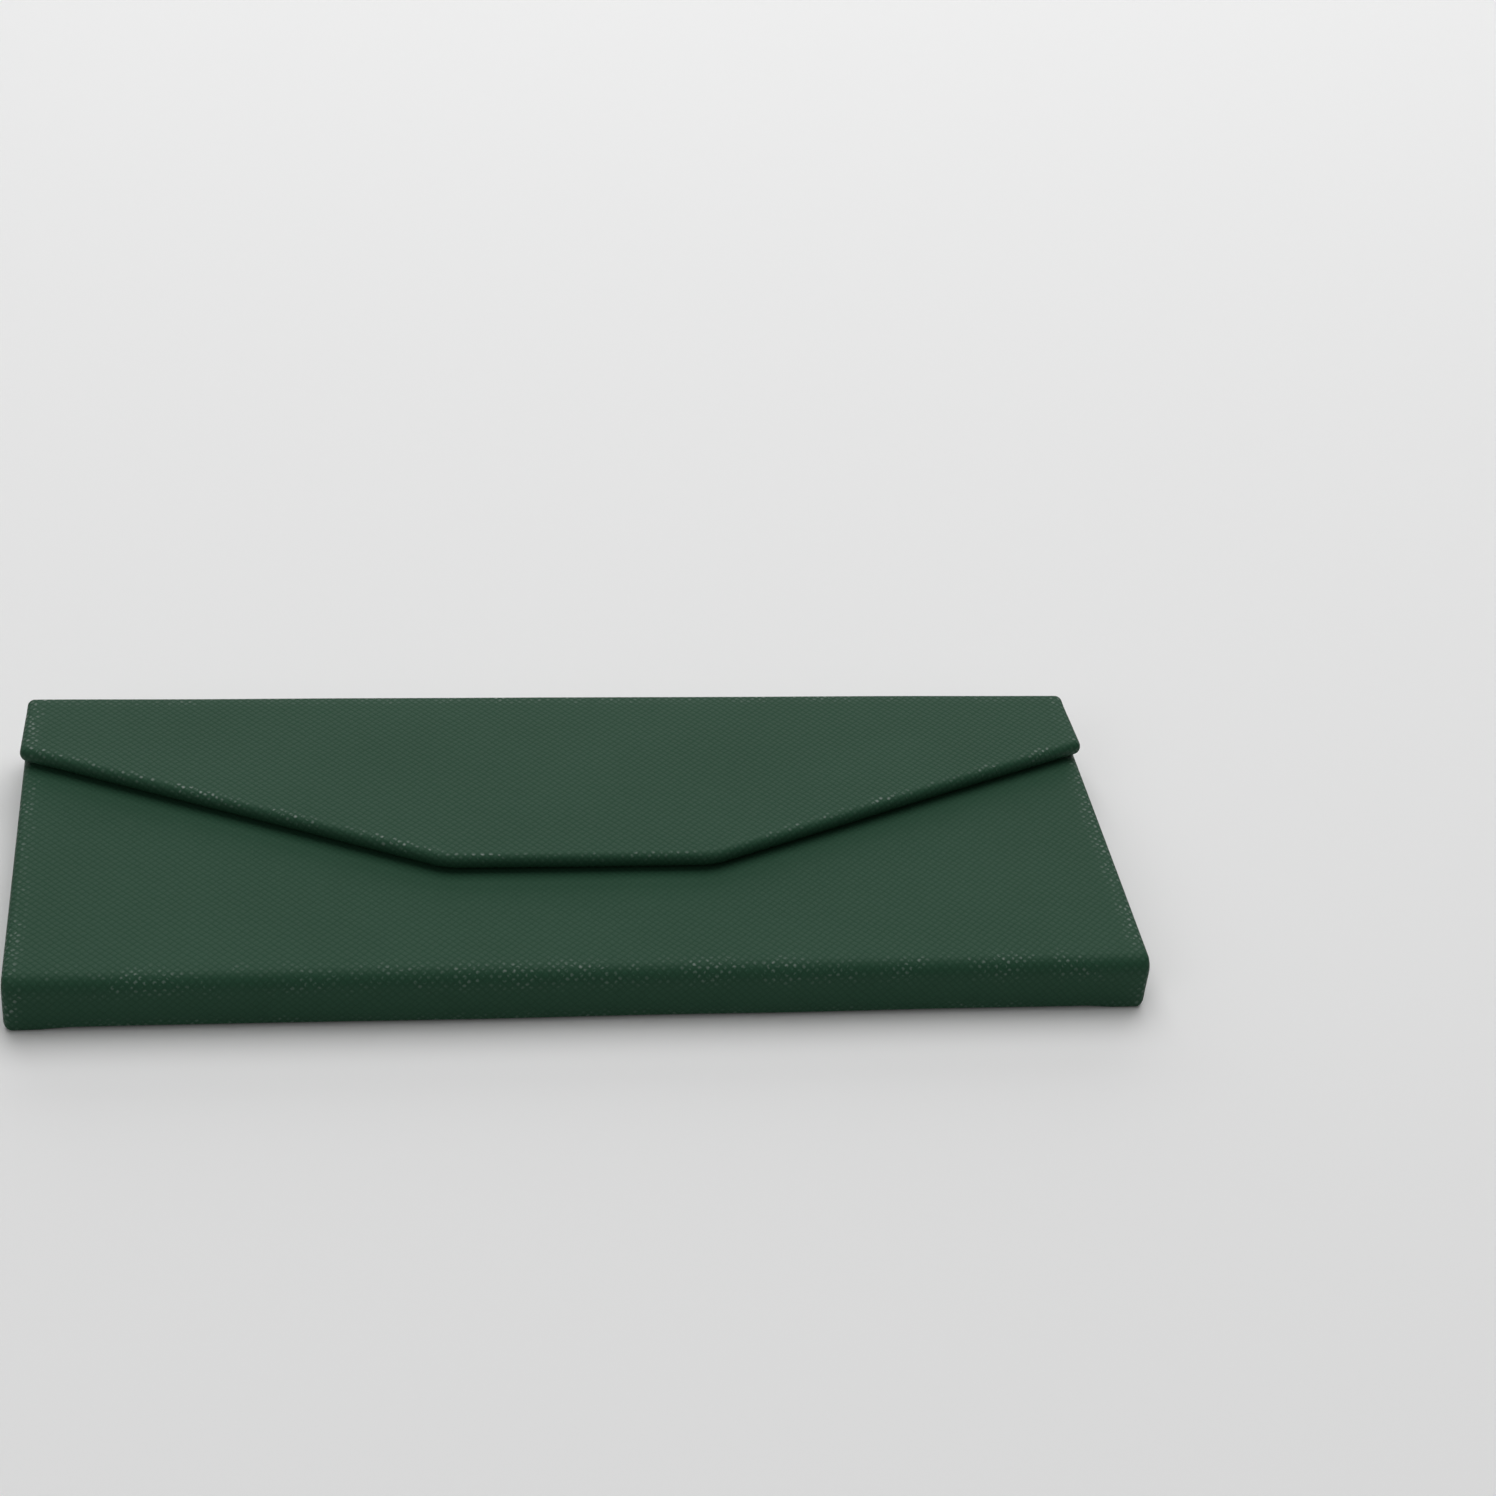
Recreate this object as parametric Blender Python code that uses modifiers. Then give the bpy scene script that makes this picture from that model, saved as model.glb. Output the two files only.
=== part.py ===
"""Fold-flat glasses case, lying folded with its flap closed.

Metres, +Z up. +X runs along the length, the rounded spine is at -Y and the two-crease ridge at +Y.
The origin is the middle of the footprint, on the table.
"""

import math

import bmesh
import bpy
from mathutils import Vector

MM = 0.001

# Outside of the folded case
LENGTH = 160.0 * MM
DEPTH = 63.0 * MM
BODY_HEIGHT = 8.6 * MM
CASE_HEIGHT = 11.3 * MM

# Layers of a covered panel
PANEL = 2.4 * MM
LEATHER = 0.6 * MM
BOARD = 0.9 * MM
HEM = 0.45 * MM
HEM_WIDTH = 8.0 * MM
LINING = 0.35 * MM
GAP = 0.3 * MM
GLUE_GAP = 0.25 * MM
RIDGE_GAP = 0.4 * MM

# Roundings of the leather where it turns
SPINE_TOP_RADIUS = 2.3 * MM
SPINE_FOOT_RADIUS = 1.2 * MM
END_RADIUS = 0.5 * MM

# Inner panel, folded under the top panel
INNER_LENGTH = 157.0 * MM
INNER_PANEL = 1.8 * MM
INNER_LEATHER = 0.4 * MM
INNER_BOARD = 0.7 * MM
INNER_BOARD_GAP = 0.15 * MM
INNER_LINING_GAP = 0.1 * MM
INNER_NEAR_GAP = 1.2 * MM
INNER_FAR_GAP = 1.7 * MM

# End gussets: a half triangle above and one below, joined at the fold
GUSSET_LEAF = 0.45 * MM
GUSSET_EDGE_GAP = 1.0 * MM
GUSSET_ANGLE = math.radians(30.0)
GUSSET_WEB = 0.4 * MM

# Flap
FLAP_OVERHANG = 0.5 * MM
FLAP_REACH = 40.5 * MM
FLAP_SIDE = 13.5 * MM
FLAP_TIP = 39.0 * MM
FLAP_HEM = 6.0 * MM
FLAP_EDGE_RADIUS = 0.7 * MM
TIP_RADIUS = 9.0 * MM
SHOULDER_RADIUS = 1.5 * MM

# Magnets, pressed into holes in the boards
MAGNET_RADIUS = 5.0 * MM
MAGNET_SPACING = 30.0 * MM
MAGNET_FROM_TIP = 8.5 * MM

# Fineness of the model
ARC_STEPS = 6
DISC_SIDES = 32
SOFT_SEGMENTS = 2
SOFT_ANGLE = math.radians(40.0)
WELD = 0.01 * MM
CUT_MARGIN = 1.0 * MM

X_END = LENGTH / 2
Y_SPINE = -DEPTH / 2
Y_RIDGE = DEPTH / 2
Y_RIDGE_INSIDE = Y_RIDGE - PANEL
Y_PANELS_END = Y_RIDGE_INSIDE - RIDGE_GAP
Y_TIP = Y_RIDGE - FLAP_REACH
SLOT_FLOOR = PANEL
SLOT_ROOF = BODY_HEIGHT - PANEL
FLAP_FLOOR = CASE_HEIGHT - PANEL
INNER_FLOOR = SLOT_FLOOR + GLUE_GAP
INNER_TOP = INNER_FLOOR + INNER_PANEL

COLOURS = {
    "leather": ((0.030, 0.065, 0.045, 1.0), 0.55, 0.0),
    "board": ((0.30, 0.27, 0.22, 1.0), 0.90, 0.0),
    "lining": ((0.055, 0.060, 0.058, 1.0), 0.95, 0.0),
    "magnet": ((0.62, 0.62, 0.60, 1.0), 0.30, 1.0),
}


def clear_scene():
    """Empties the scene of objects."""
    for obj in list(bpy.data.objects):
        bpy.data.objects.remove(obj, do_unlink=True)


def new_collection(name):
    """Makes a collection in the scene."""
    collection = bpy.data.collections.new(name)
    bpy.context.scene.collection.children.link(collection)
    return collection


def material(obj, kind):
    """Gives an object a Principled material of its own."""
    colour, roughness, metallic = COLOURS[kind]
    mat = bpy.data.materials.new(obj.name + "_" + kind)
    mat.use_nodes = True
    shader = mat.node_tree.nodes["Principled BSDF"]
    shader.inputs["Base Color"].default_value = colour
    shader.inputs["Roughness"].default_value = roughness
    shader.inputs["Metallic"].default_value = metallic
    obj.data.materials.append(mat)


def shade(mesh):
    """Shades the rounded faces smooth and keeps the sharp edges sharp."""
    mesh.shade_smooth()
    mesh.set_sharp_from_angle(angle=SOFT_ANGLE)


def link_mesh(name, bm, centre, collection):
    """Turns a bmesh about the origin into an object placed at centre."""
    mesh = bpy.data.meshes.new(name)
    bm.to_mesh(mesh)
    bm.free()
    shade(mesh)
    obj = bpy.data.objects.new(name, mesh)
    obj.location = centre
    collection.objects.link(obj)
    return obj


def block(name, x, y, z, collection):
    """A box between the pairs of coordinates x, y and z."""
    size = Vector((x[1] - x[0], y[1] - y[0], z[1] - z[0]))
    bm = bmesh.new()
    bmesh.ops.create_cube(bm, size=1.0)
    bmesh.ops.scale(bm, vec=size, verts=bm.verts)
    centre = Vector((sum(x) / 2, sum(y) / 2, sum(z) / 2))
    return link_mesh(name, bm, centre, collection)


def round_long_edge(obj, y_side, z_side, radius):
    """Rounds the edge along X on one side of a box; y_side and z_side are -1 or 1."""
    bm = bmesh.new()
    bm.from_mesh(obj.data)
    edges = []
    for edge in bm.edges:
        middle = (edge.verts[0].co + edge.verts[1].co) / 2
        along = abs(edge.verts[0].co.x - edge.verts[1].co.x) > obj.dimensions.x / 2
        if along and middle.y * y_side > 0 and middle.z * z_side > 0:
            edges.append(edge)
    bmesh.ops.bevel(bm, geom=edges, offset=radius, segments=ARC_STEPS, profile=0.5, affect="EDGES")
    bm.to_mesh(obj.data)
    bm.free()
    shade(obj.data)


def slab_from_outline(name, points, z, collection):
    """A flat plate with the given outline, between two heights."""
    curve = bpy.data.curves.new(name, "CURVE")
    curve.dimensions = "2D"
    curve.fill_mode = "BOTH"
    curve.extrude = (z[1] - z[0]) / 2
    spline = curve.splines.new("POLY")
    spline.points.add(len(points) - 1)
    for point, (x, y) in zip(spline.points, points):
        point.co = (x, y, 0.0, 1.0)
    spline.use_cyclic_u = True
    flat = bpy.data.objects.new(name + "_outline", curve)
    collection.objects.link(flat)
    bpy.context.view_layer.update()
    evaluated = flat.evaluated_get(bpy.context.evaluated_depsgraph_get())
    mesh = bpy.data.meshes.new_from_object(evaluated)
    bpy.data.objects.remove(flat, do_unlink=True)
    bm = bmesh.new()
    bm.from_mesh(mesh)
    bmesh.ops.remove_doubles(bm, verts=bm.verts, dist=WELD)
    bmesh.ops.recalc_face_normals(bm, faces=bm.faces)
    bm.to_mesh(mesh)
    bm.free()
    mesh.name = name
    shade(mesh)
    obj = bpy.data.objects.new(name, mesh)
    obj.location = (0.0, 0.0, (z[0] + z[1]) / 2)
    collection.objects.link(obj)
    return obj


def disc(name, x, y, z, radius, collection):
    """An upright disc between two heights."""
    bm = bmesh.new()
    bmesh.ops.create_cone(
        bm, cap_ends=True, segments=DISC_SIDES, radius1=radius, radius2=radius, depth=z[1] - z[0]
    )
    return link_mesh(name, bm, Vector((x, y, (z[0] + z[1]) / 2)), collection)


def soften(obj, width):
    """Rounds the sharp edges of an object."""
    bevel = obj.modifiers.new("rounded edges", "BEVEL")
    bevel.width = width
    bevel.segments = SOFT_SEGMENTS
    bevel.limit_method = "ANGLE"
    bevel.angle_limit = SOFT_ANGLE


def cut(obj, cutter):
    """Cuts one shape out of another."""
    cutter.hide_render = True
    cutter.display_type = "WIRE"
    boolean = obj.modifiers.new("cut " + cutter.name, "BOOLEAN")
    boolean.operation = "DIFFERENCE"
    boolean.solver = "EXACT"
    boolean.object = cutter


def span(half):
    """A pair of coordinates the same distance either side of zero."""
    return (-half, half)


def shrink(pair, amount):
    """A pair of coordinates with each end moved in."""
    return (pair[0] + amount, pair[1] - amount)


def fillet(before, corner, after, radius):
    """Points of an arc that rounds a corner between two straight edges."""
    to_before = (before - corner).normalized()
    to_after = (after - corner).normalized()
    half_angle = to_before.angle(to_after) / 2
    reach = radius / math.tan(half_angle)
    centre = corner + (to_before + to_after).normalized() * radius / math.sin(half_angle)
    first = corner + to_before * reach - centre
    last = corner + to_after * reach - centre
    turn = first.angle_signed(last)
    points = []
    for step in range(ARC_STEPS + 1):
        angle = -turn * step / ARC_STEPS
        cos, sin = math.cos(angle), math.sin(angle)
        turned = Vector((first.x * cos - first.y * sin, first.x * sin + first.y * cos))
        points.append(centre + turned)
    return points


def flap_outline(inset):
    """Outline of the flap, moved in by inset: straight sides, then a taper to a flat tip."""
    half = X_END + FLAP_OVERHANG
    shoulder = Vector((half, Y_RIDGE - FLAP_SIDE))
    tip = Vector((FLAP_TIP / 2, Y_TIP))
    slope = (tip - shoulder).normalized()
    inward = Vector((slope.y, -slope.x))
    if inward.x > 0:
        inward = -inward
    moved = shoulder + inward * inset
    shoulder_at = (half - inset - moved.x) / slope.x
    tip_at = (Y_TIP + inset - moved.y) / slope.y
    far = Vector((half - inset, Y_RIDGE - inset))
    shoulder_in = moved + slope * shoulder_at
    tip_in = moved + slope * tip_at
    mirrored_tip = Vector((-tip_in.x, tip_in.y))
    right = [far]
    right += fillet(far, shoulder_in, tip_in, SHOULDER_RADIUS)
    right += fillet(shoulder_in, tip_in, mirrored_tip, max(TIP_RADIUS - inset, MM))
    left = [Vector((-p.x, p.y)) for p in reversed(right)]
    return [(p.x, p.y) for p in right + left]


def make_body_wrap(parts, cutters):
    """Leather round the lid, the spine and the top panel, with the board pockets and hems."""
    wrap = block("body_wrap", span(X_END), (Y_SPINE, Y_PANELS_END), (0.0, BODY_HEIGHT), parts)
    round_long_edge(wrap, -1, 1, SPINE_TOP_RADIUS)
    round_long_edge(wrap, -1, -1, SPINE_FOOT_RADIUS)
    material(wrap, "leather")
    soften(wrap, END_RADIUS)
    slot_y = (Y_SPINE + PANEL, Y_PANELS_END + CUT_MARGIN)
    slot = block("slot", span(X_END + CUT_MARGIN), slot_y, (SLOT_FLOOR, SLOT_ROOF), cutters)
    cut(wrap, slot)
    pocket_y = panel_pocket_y()
    pocket_x = span(X_END - LEATHER)
    window_x = span(X_END - HEM_WIDTH)
    lid_pocket = (LEATHER, SLOT_FLOOR - HEM)
    top_pocket = (SLOT_ROOF + HEM, BODY_HEIGHT - LEATHER)
    cut(wrap, block("lid_pocket", pocket_x, pocket_y, lid_pocket, cutters))
    cut(wrap, block("top_pocket", pocket_x, pocket_y, top_pocket, cutters))
    lid_window = (lid_pocket[1] - LINING, SLOT_FLOOR + LINING)
    top_window = (SLOT_ROOF - LINING, top_pocket[0] + LINING)
    cut(wrap, block("lid_window", window_x, pocket_y, lid_window, cutters))
    cut(wrap, block("top_window", window_x, pocket_y, top_window, cutters))
    spine_y = (Y_SPINE + LEATHER, Y_SPINE + PANEL - HEM)
    cut(wrap, block("spine_pocket", pocket_x, spine_y, spine_pocket_z(), cutters))
    spine_window = (spine_y[1] - LINING, spine_y[1] + HEM + LINING)
    window_z = shrink(spine_pocket_z(), HEM)
    cut(wrap, block("spine_window", window_x, spine_window, window_z, cutters))


def panel_pocket_y():
    """Where the lid and top pockets start and end."""
    return (Y_SPINE + PANEL + GLUE_GAP, Y_PANELS_END - LEATHER)


def spine_pocket_z():
    """Heights between which the spine pocket lies."""
    return (SLOT_FLOOR + HEM, SLOT_ROOF - HEM)


def magnet_places():
    """Centres of the two magnets of each closure."""
    y = Y_TIP + MAGNET_FROM_TIP
    return {"left": (-MAGNET_SPACING / 2, y), "right": (MAGNET_SPACING / 2, y)}


def bore_for_magnets(board, z, cutters):
    """Cuts the magnet holes through a board."""
    for side, (x, y) in magnet_places().items():
        name = board.name + "_hole_" + side
        heights = (z[0] - CUT_MARGIN, z[1] + CUT_MARGIN)
        cut(board, disc(name, x, y, heights, MAGNET_RADIUS + GAP, cutters))


def add_magnets(prefix, z, parts):
    """A pair of disc magnets in a board, between two heights."""
    magnets = []
    for side, (x, y) in magnet_places().items():
        magnet = disc(prefix + "_magnet_" + side, x, y, z, MAGNET_RADIUS, parts)
        material(magnet, "magnet")
        magnets.append(magnet)
    return magnets


def make_lid_and_top(parts, cutters):
    """Boards and linings of the lid and top panels, and the top panel's magnets."""
    board_x = span(X_END - LEATHER - GAP)
    board_y = shrink(panel_pocket_y(), GAP)
    lining_x = span(X_END - HEM_WIDTH - GAP)
    lid_board_z = (LEATHER + GLUE_GAP, LEATHER + GLUE_GAP + BOARD)
    top_board_z = (BODY_HEIGHT - lid_board_z[1], BODY_HEIGHT - lid_board_z[0])
    material(block("lid_board", board_x, board_y, lid_board_z, parts), "board")
    top_board = block("top_board", board_x, board_y, top_board_z, parts)
    material(top_board, "board")
    bore_for_magnets(top_board, top_board_z, cutters)
    add_magnets("top", top_board_z, parts)
    lid_lining_z = (SLOT_FLOOR - LINING, SLOT_FLOOR)
    top_lining_z = (SLOT_ROOF, SLOT_ROOF + LINING)
    material(block("lid_lining", lining_x, board_y, lid_lining_z, parts), "lining")
    material(block("top_lining", lining_x, board_y, top_lining_z, parts), "lining")


def make_spine(parts):
    """Board and lining inside the spine."""
    board_x = span(X_END - LEATHER - GAP)
    lining_x = span(X_END - HEM_WIDTH - GAP)
    board_y = (Y_SPINE + LEATHER + GLUE_GAP, Y_SPINE + LEATHER + GLUE_GAP + BOARD)
    board_z = shrink(spine_pocket_z(), GLUE_GAP)
    material(block("spine_board", board_x, board_y, board_z, parts), "board")
    lining_y = (Y_SPINE + PANEL - LINING, Y_SPINE + PANEL)
    lining_z = shrink(spine_pocket_z(), HEM + GLUE_GAP)
    material(block("spine_lining", lining_x, lining_y, lining_z, parts), "lining")


def make_inner_panel(parts, cutters):
    """Covered panel that folds under the top panel, and the strip that hinges it there."""
    half = INNER_LENGTH / 2
    y = (Y_SPINE + PANEL + INNER_NEAR_GAP, Y_PANELS_END - INNER_FAR_GAP)
    cover = block("inner_cover", span(half), y, (INNER_FLOOR, INNER_TOP), parts)
    material(cover, "leather")
    pocket_x = span(half - INNER_LEATHER)
    pocket_y = shrink(y, INNER_LEATHER)
    pocket_z = (INNER_FLOOR + INNER_LEATHER, INNER_TOP - INNER_LEATHER)
    cut(cover, block("inner_pocket", pocket_x, pocket_y, pocket_z, cutters))
    window_x = span(half - HEM_WIDTH)
    window_y = shrink(y, HEM_WIDTH)
    window_z = (pocket_z[1] - LINING, INNER_TOP + CUT_MARGIN)
    cut(cover, block("inner_window", window_x, window_y, window_z, cutters))
    board_floor = pocket_z[0] + INNER_BOARD_GAP
    board_z = (board_floor, board_floor + INNER_BOARD)
    board_x = shrink(pocket_x, GAP)
    material(block("inner_board", board_x, shrink(pocket_y, GAP), board_z, parts), "board")
    lining_z = (INNER_TOP - INNER_LEATHER + INNER_LINING_GAP, INNER_TOP)
    lining_x = shrink(window_x, GAP)
    material(block("inner_lining", lining_x, shrink(window_y, GAP), lining_z, parts), "lining")
    strip_y = (y[1] + GAP, y[1] + GAP + INNER_LEATHER)
    strip_z = (INNER_FLOOR, SLOT_ROOF - GLUE_GAP)
    strip = block("vertex_hinge_strip", span(half - HEM_WIDTH), strip_y, strip_z, parts)
    material(strip, "lining")


def gusset_triangle(side):
    """Corners of a folded half gusset: the apex, the near end of the panel edge and the fold's end."""
    x_edge = side * (X_END - GUSSET_EDGE_GAP)
    apex_y = Y_PANELS_END - INNER_FAR_GAP - GUSSET_EDGE_GAP
    edge = apex_y - (Y_SPINE + PANEL + GUSSET_EDGE_GAP)
    fold = edge * math.cos(GUSSET_ANGLE)
    apex = Vector((x_edge, apex_y))
    near = Vector((x_edge, apex_y - edge))
    inward = -side * fold * math.sin(GUSSET_ANGLE)
    fold_end = apex + Vector((inward, -fold * math.cos(GUSSET_ANGLE)))
    return apex, near, fold_end


def make_gusset(name, side, parts):
    """A two-leaf end gusset folded flat between the inner panel and the top panel."""
    apex, near, fold_end = gusset_triangle(side)
    outline = [(p.x, p.y) for p in (apex, near, fold_end)]
    low = INNER_TOP + GLUE_GAP
    high = SLOT_ROOF - GLUE_GAP
    lower = slab_from_outline(name + "_lower_leaf", outline, (low, low + GUSSET_LEAF), parts)
    upper = slab_from_outline(name + "_upper_leaf", outline, (high - GUSSET_LEAF, high), parts)
    material(lower, "leather")
    material(upper, "leather")
    along = (fold_end - apex).normalized()
    outward = Vector((-side * abs(along.y), abs(along.x)))
    first = apex + along * HEM_WIDTH + outward * GAP
    last = fold_end + outward * GAP
    web = [first, last, last + outward * GUSSET_WEB, first + outward * GUSSET_WEB]
    fold = slab_from_outline(name + "_fold", [(p.x, p.y) for p in web], (low, high), parts)
    material(fold, "leather")


def make_ridge(parts, cutters):
    """The upright ridge panel behind the case: leather, board and lining."""
    y = (Y_RIDGE_INSIDE, Y_RIDGE)
    z = (GAP, BODY_HEIGHT)
    wrap = block("ridge_wrap", span(X_END), y, z, parts)
    round_long_edge(wrap, 1, -1, SPINE_FOOT_RADIUS / 2)
    material(wrap, "leather")
    pocket_x = span(X_END - LEATHER)
    pocket_y = (y[0] + HEM, y[1] - LEATHER)
    pocket_z = shrink(z, LEATHER)
    cut(wrap, block("ridge_pocket", pocket_x, pocket_y, pocket_z, cutters))
    window_z = shrink(pocket_z, HEM)
    window_y = (y[0] - CUT_MARGIN, pocket_y[0] + LINING)
    cut(wrap, block("ridge_window", span(X_END - HEM_WIDTH), window_y, window_z, cutters))
    board_y = (y[1] - LEATHER - GLUE_GAP - BOARD, y[1] - LEATHER - GLUE_GAP)
    board_z = shrink(pocket_z, GAP)
    board = block("ridge_board", shrink(pocket_x, GAP), board_y, board_z, parts)
    material(board, "board")
    lining_y = (y[0], y[0] + LINING)
    lining_x = span(X_END - HEM_WIDTH - GAP)
    lining = block("ridge_lining", lining_x, lining_y, shrink(window_z, GAP), parts)
    material(lining, "lining")
    return [wrap, board, lining]


def make_flap(parts, cutters):
    """The closing flap: leather, board, lining and two magnets."""
    z = (FLAP_FLOOR, CASE_HEIGHT)
    wrap = slab_from_outline("flap_wrap", flap_outline(0.0), z, parts)
    material(wrap, "leather")
    soften(wrap, FLAP_EDGE_RADIUS)
    pocket_z = (z[0] + HEM, z[1] - LEATHER)
    cut(wrap, slab_from_outline("flap_pocket", flap_outline(LEATHER), pocket_z, cutters))
    window_z = (z[0] - CUT_MARGIN, pocket_z[0] + LINING)
    cut(wrap, slab_from_outline("flap_window", flap_outline(FLAP_HEM), window_z, cutters))
    board_z = (z[1] - LEATHER - GLUE_GAP - BOARD, z[1] - LEATHER - GLUE_GAP)
    board = slab_from_outline("flap_board", flap_outline(LEATHER + GAP), board_z, parts)
    material(board, "board")
    bore_for_magnets(board, board_z, cutters)
    lining_z = (z[0], z[0] + LINING)
    lining = slab_from_outline("flap_lining", flap_outline(FLAP_HEM + GAP), lining_z, parts)
    material(lining, "lining")
    return [wrap, board, lining] + add_magnets("flap", board_z, parts)


def axis_empty(name, place, collection):
    """An empty on a crease, along which a panel turns."""
    empty = bpy.data.objects.new(name, None)
    empty.location = place
    empty.empty_display_size = PANEL
    collection.objects.link(empty)
    return empty


def hang(objects, empty, place):
    """Parents objects to an empty that sits at place, without moving them."""
    for obj in objects:
        obj.location = Vector(obj.location) - place
        obj.parent = empty


def main():
    """Builds the case."""
    clear_scene()
    parts = new_collection("glasses_case")
    cutters = new_collection("cutters")
    make_body_wrap(parts, cutters)
    make_lid_and_top(parts, cutters)
    make_spine(parts)
    make_inner_panel(parts, cutters)
    make_gusset("gusset_left", -1, parts)
    make_gusset("gusset_right", 1, parts)
    ridge_place = Vector((0.0, Y_RIDGE, 0.0))
    flap_place = Vector((0.0, Y_RIDGE, CASE_HEIGHT))
    ridge_axis = axis_empty("ridge_axis", ridge_place, parts)
    flap_axis = axis_empty("flap_axis", flap_place, parts)
    hang(make_ridge(parts, cutters), ridge_axis, ridge_place)
    hang(make_flap(parts, cutters), flap_axis, flap_place)
    hang([flap_axis], ridge_axis, ridge_place)


main()
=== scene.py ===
"""Looks of the fold-flat glasses case: embossed leather over boards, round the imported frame."""

import math

import bmesh
import bpy
from mathutils import Matrix, Vector, noise


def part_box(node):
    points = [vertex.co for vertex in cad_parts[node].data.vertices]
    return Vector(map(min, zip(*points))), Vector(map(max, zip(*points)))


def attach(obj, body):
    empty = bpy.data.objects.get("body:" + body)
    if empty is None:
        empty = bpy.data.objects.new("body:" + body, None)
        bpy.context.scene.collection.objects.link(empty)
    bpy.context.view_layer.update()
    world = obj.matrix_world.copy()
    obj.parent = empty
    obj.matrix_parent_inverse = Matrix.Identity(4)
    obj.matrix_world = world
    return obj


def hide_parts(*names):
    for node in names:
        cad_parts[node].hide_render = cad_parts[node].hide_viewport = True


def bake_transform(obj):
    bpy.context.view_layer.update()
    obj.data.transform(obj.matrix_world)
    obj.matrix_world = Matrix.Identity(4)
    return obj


MM = 0.001

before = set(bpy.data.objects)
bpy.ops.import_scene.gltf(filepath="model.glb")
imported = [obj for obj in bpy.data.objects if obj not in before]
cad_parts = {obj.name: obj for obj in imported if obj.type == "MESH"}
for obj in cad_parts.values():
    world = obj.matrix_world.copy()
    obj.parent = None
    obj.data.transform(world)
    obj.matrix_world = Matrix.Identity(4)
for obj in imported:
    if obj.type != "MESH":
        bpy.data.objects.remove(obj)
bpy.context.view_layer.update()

# Places taken from the frame
BODY_LOW, BODY_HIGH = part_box("body_wrap")
FLAP_LOW, FLAP_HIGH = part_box("flap_wrap")
INNER_LOW, INNER_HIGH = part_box("inner_cover")
PANEL = FLAP_HIGH.z - FLAP_LOW.z
X_END = BODY_HIGH.x
Y_SPINE = BODY_LOW.y
Y_TOP_END = BODY_HIGH.y
BODY_TOP = BODY_HIGH.z
Y_RIDGE = FLAP_HIGH.y
Y_TIP = FLAP_LOW.y
CASE_TOP = FLAP_HIGH.z
FLAP_HALF = FLAP_HIGH.x

# Leather and its turned edges
SKIN = 0.45 * MM
EDGE_RADIUS = 1.15 * MM
HEM = 8.0 * MM
FLAP_HEM = 6.0 * MM
PANEL_CORNER = 1.6 * MM
ROUND_LIMIT = 2.02
SEAM_Y = Y_TOP_END - 2.7 * MM

# Inner panel
INNER_SKIN = 0.35 * MM
INNER_EDGE_RADIUS = 0.7 * MM
INNER_CORNER = 1.4 * MM

# Bends round the spine and the creases
SPINE_TOP_RADIUS = 2.3 * MM
SPINE_FOOT_RADIUS = 0.6 * MM
CREASE_FOOT_RADIUS = 1.3 * MM
CREASE_TOP_RADIUS = 1.0 * MM
INNER_RADIUS = 0.4 * MM
CREASE_REACH = 5.0 * MM
CREASE_PINCH = 0.35
CREASE_EASE = 1.2 * MM

# Unevenness of the sheets, and the hollow under the middle of the lid
WAVE = 0.09 * MM
WAVES_ALONG = 38.0
WAVES_ACROSS = 52.0
LID_HOLLOW = 0.35 * MM
HOLLOW_END = 9.0 * MM
HOLLOW_END_EASE = 5.0 * MM
HOLLOW_HEIGHT = 3.0 * MM

# Linings: clearances, corners, and shares of their depth
GAP = 0.3 * MM
LINING_GAP = 0.05 * MM
LINING_CORNER = 1.0 * MM
LINING_CORNER_SHARE = 0.3
LINING_DEPTH_SHARE = 0.55
LINING_ROUND_SHARE = 0.27
LINING_SKIN_SHARE = 0.45

# Gussets
GUSSET_SKIN = 0.35 * MM
GUSSET_ANGLE = math.radians(30.0)
GUSSET_START = 0.08
GUSSET_BULGE = 0.7
GUSSET_ROWS = 30
GUSSET_COLUMNS = 12
GUSSET_FOLD_STEPS = 8

# Flap outline, as shares of its reach and of its half length
FLAP_SIDE_SHARE = 0.333
TIP_SHARE = 0.242
TIP_RADIUS = 9.0 * MM
TIP_RADIUS_LEAST = 3.0 * MM
SHOULDER_RADIUS = 1.4 * MM

# Fineness of the meshes
ROW_STEP = 1.6 * MM
COLUMNS = 84
ARC_STEPS = 6
HEM_STEPS = 3
WELD = 0.004 * MM
TINY = 1e-9
ON_ARC = 1.001

# Emboss of the leather, and the painted glints near its edges; scales are features per millimetre
HATCH = 0.87 * MM
HATCH_WANDER = 0.55
WANDER_SCALE = 0.35
PIP_SHAPE = 0.55
GRAIN_SCALE = 5.0
GRAIN_SHARE = 0.35
CLOUD_SCALE = 0.045
CLOUD_SHARE = 0.3
EMBOSS_DEPTH = 0.042 * MM
GLINT_WIDTH = 2.0 * MM
GLINT_TURN = 2.2
PATCH_SCALE = 0.16
SPECK_SCALE = 1.4
LEATHER_ROUGHNESS = (0.66, 0.42)
LEATHER_SHINE = (0.10, 1.0)

# Surfaces of the other materials; scales are features per millimetre
NAP_SCALE = 0.25
PILE_SCALE = 9.0
PILE_DEPTH = 0.08 * MM
PILE_ROUGHNESS = 0.95
PILE_SHEEN = 0.5
PILE_SHEEN_ROUGHNESS = 0.4
FIBRE_SCALE = 3.0
FIBRE_DEPTH = 0.05 * MM
FLECK_SCALE = 1.1
BOARD_ROUGHNESS = (0.8, 0.95)
SCUFF_SCALE = 4.0
SCUFF_DEPTH = 0.01 * MM
NICKEL_ROUGHNESS = (0.2, 0.42)
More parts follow.
